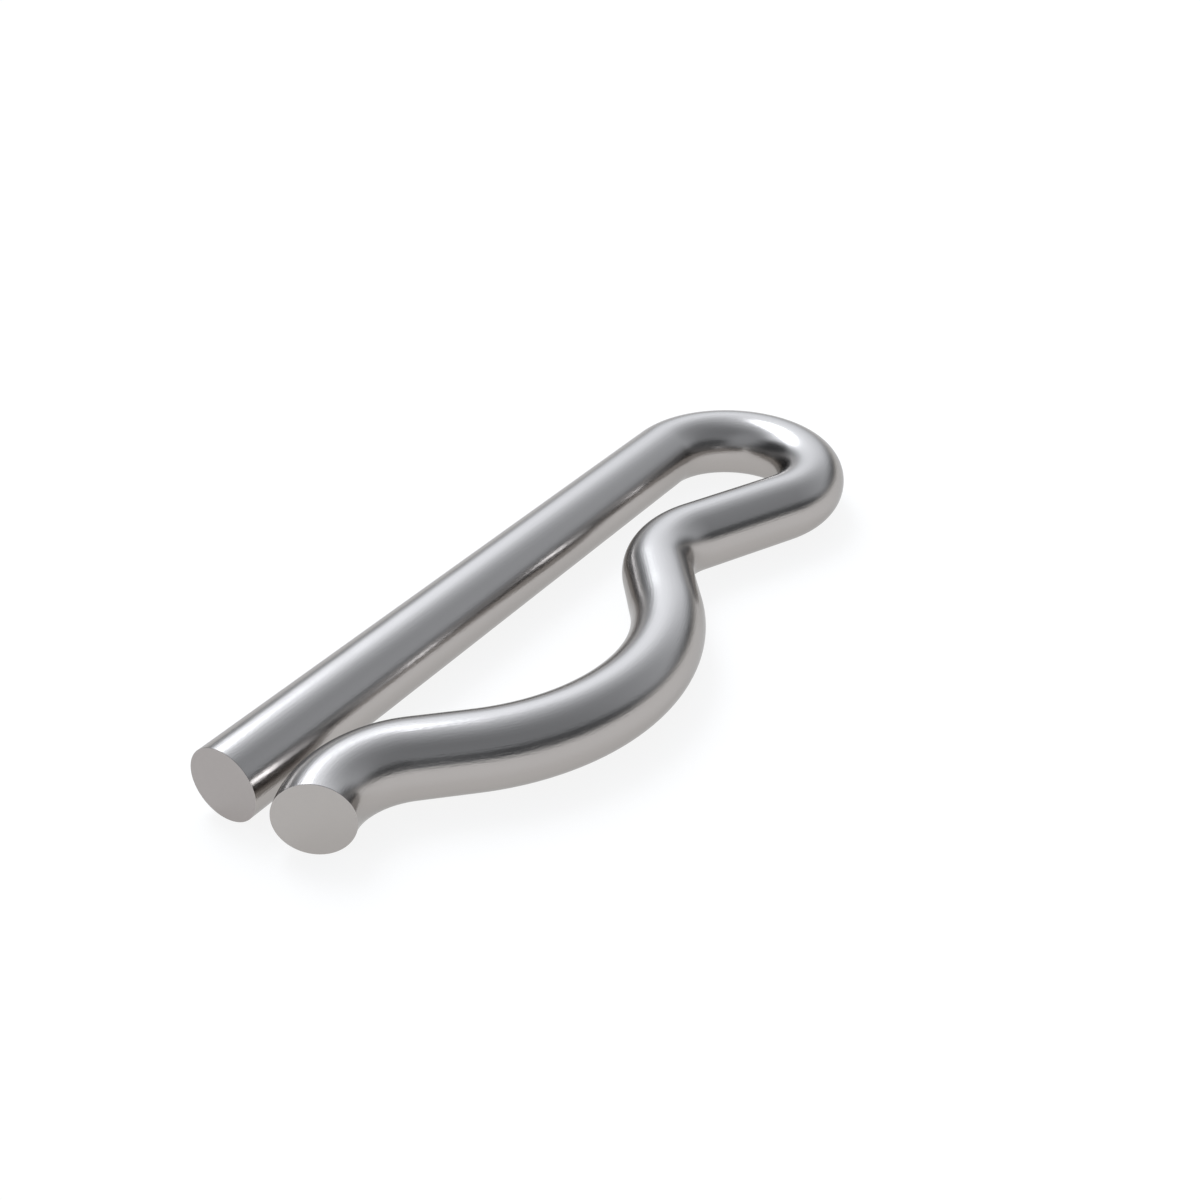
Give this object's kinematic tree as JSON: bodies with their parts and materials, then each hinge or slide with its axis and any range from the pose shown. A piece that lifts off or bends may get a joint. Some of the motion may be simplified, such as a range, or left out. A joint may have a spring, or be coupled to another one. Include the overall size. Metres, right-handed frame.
{
  "type": "hairpin cotter pin",
  "caption": "Spring cotter pin bent from round wire: a straight leg that goes through a shaft's cross hole, and a curved leg with a flared end that closes round the shaft.",
  "frame": {"origin": "where the axis of the straight leg crosses the axis of the shaft that the belly closes on, in the mid-plane of the wire", "axes": "+X along the straight leg from its cut end to the head, -Y towards the curved leg, +Z square to the plane of the bends, along the shaft; the pin lies flat on its side"},
  "size_m": [0.0477, 0.016, 0.004],
  "materials": {
    "spring_wire": "bright drawn spring steel wire, polished, with plain cut ends"
  },
  "bodies": {
    "root": {"cotter_pin": "spring_wire"}
  },
  "joints": []
}
